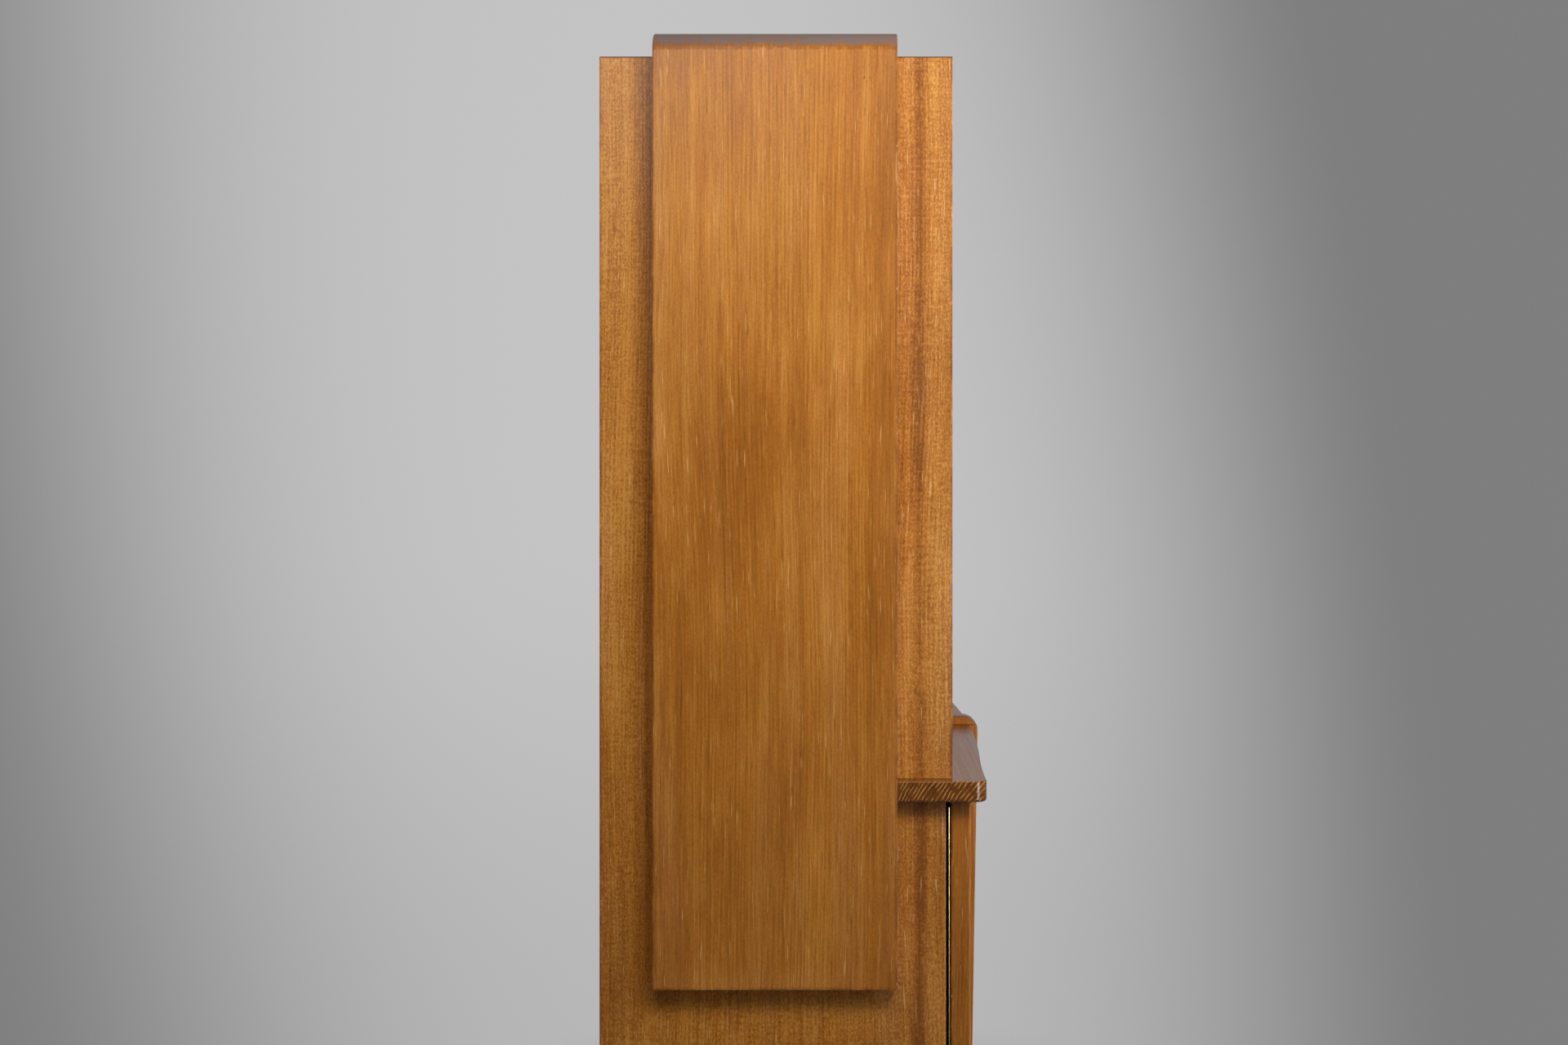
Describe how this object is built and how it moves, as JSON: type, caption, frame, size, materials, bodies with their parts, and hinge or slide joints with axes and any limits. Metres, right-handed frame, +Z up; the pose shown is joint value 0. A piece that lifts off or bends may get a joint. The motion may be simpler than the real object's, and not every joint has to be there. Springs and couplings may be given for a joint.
{
  "type": "linen_press",
  "caption": "Linen press in honey-brown elm with a serpentine waist shelf, bands folded over the top, bowed lower doors on brass piano hinges and locked upper doors",
  "frame": {"origin": "middle of the box round the press, on the floor", "axes": "+X to the right seen from the front, +Y to the back, +Z up; the doors face -Y"},
  "size_m": [1.1, 0.5018, 1.789],
  "materials": {
    "elm_veneer": "satin oil and shellac",
    "elm_solid": "satin oil and shellac",
    "inner_wood": "thin shellac",
    "plywood": "unfinished",
    "brass": "aged polish",
    "steel": "bright rolled",
    "black_case": "matt"
  },
  "bodies": {
    "carcase": {"waist_shelf": "elm_solid", "front_pilaster": "elm_solid", "band_left": "elm_solid", "band_right": "elm_solid", "band_top": "elm_solid", "upper_sill": "elm_solid", "back_panel_upper": "plywood", "back_panel_lower": "plywood", "side_panel_left": "elm_veneer", "side_panel_right": "elm_veneer", "top_board": "elm_veneer", "bottom_board": "inner_wood", "upper_partition": "inner_wood", "lower_partition": "inner_wood", "centre_backing": "inner_wood", "upper_door_stops": "inner_wood", "plinth_front": "inner_wood", "plinth_back": "inner_wood", "plinth_left": "inner_wood", "plinth_right": "inner_wood", "plinth_blocks": "inner_wood", "upper_cleats": "inner_wood", "lower_cleats": "inner_wood", "upper_shelf_1_left": "inner_wood", "upper_shelf_1_right": "inner_wood", "upper_shelf_2_left": "inner_wood", "upper_shelf_2_right": "inner_wood", "upper_shelf_3_left": "inner_wood", "upper_shelf_3_right": "inner_wood", "lower_shelf_1_left": "inner_wood", "lower_shelf_1_right": "inner_wood", "hinge_lower_pins": "brass", "hinge_upper_pins": "brass", "hinge_lower_carcase_leaf_left": "brass", "hinge_lower_carcase_leaf_right": "brass", "hinge_upper_carcase_leaf_left": "brass", "hinge_upper_carcase_leaf_right": "brass", "magnet_catches": "black_case"},
    "lower_door_left": {"door_lower_left": "elm_veneer", "pull_lower_left": "elm_solid", "catch_plate_left": "steel", "hinge_lower_door_leaf_left": "brass"},
    "upper_door_left": {"door_upper_left": "elm_veneer", "hinge_upper_door_leaf_left": "brass", "lock_case_left": "steel", "escutcheon_left": "brass"},
    "bolt_left": {"lock_bolt_left": "brass"},
    "key_left": {"key_left": "brass"},
    "lower_door_right": {"door_lower_right": "elm_veneer", "pull_lower_right": "elm_solid", "catch_plate_right": "steel", "hinge_lower_door_leaf_right": "brass"},
    "upper_door_right": {"door_upper_right": "elm_veneer", "hinge_upper_door_leaf_right": "brass", "lock_case_right": "steel", "escutcheon_right": "brass"},
    "bolt_right": {"lock_bolt_right": "brass"},
    "key_right": {"key_right": "brass"}
  },
  "joints": [
    {"name": "lower_door_left_swing", "type": "hinge", "parent": "carcase", "child": "lower_door_left", "pos_m": [-0.5218, -0.17621, 0.08], "axis": [0, 0, -1], "range_deg": [0, 105]},
    {"name": "upper_door_left_swing", "type": "hinge", "parent": "carcase", "child": "upper_door_left", "pos_m": [-0.49885, -0.17506, 0.88], "axis": [0, 0, -1], "range_deg": [0, 105]},
    {"name": "key_left_turn", "type": "hinge", "parent": "upper_door_left", "child": "key_left", "pos_m": [-0.037, -0.17506, 1.28], "axis": [0, 1, 0], "range_deg": [0, 360]},
    {"name": "bolt_left_slide", "type": "slide", "parent": "upper_door_left", "child": "bolt_left", "axis": [1, 0, 0], "range_m": [0, 0.009]},
    {"name": "lower_door_right_swing", "type": "hinge", "parent": "carcase", "child": "lower_door_right", "pos_m": [0.5218, -0.17621, 0.08], "axis": [0, 0, 1], "range_deg": [0, 105]},
    {"name": "upper_door_right_swing", "type": "hinge", "parent": "carcase", "child": "upper_door_right", "pos_m": [0.49885, -0.17506, 0.88], "axis": [0, 0, 1], "range_deg": [0, 105]},
    {"name": "key_right_turn", "type": "hinge", "parent": "upper_door_right", "child": "key_right", "pos_m": [0.037, -0.17506, 1.28], "axis": [0, -1, 0], "range_deg": [0, 360]},
    {"name": "bolt_right_slide", "type": "slide", "parent": "upper_door_right", "child": "bolt_right", "axis": [-1, 0, 0], "range_m": [0, 0.009]}
  ],
  "couplings": [
    {"joint": "key_left_turn", "follows": "bolt_left_slide", "rad_per_m": 698.13},
    {"joint": "key_right_turn", "follows": "bolt_right_slide", "rad_per_m": 698.13}
  ]
}
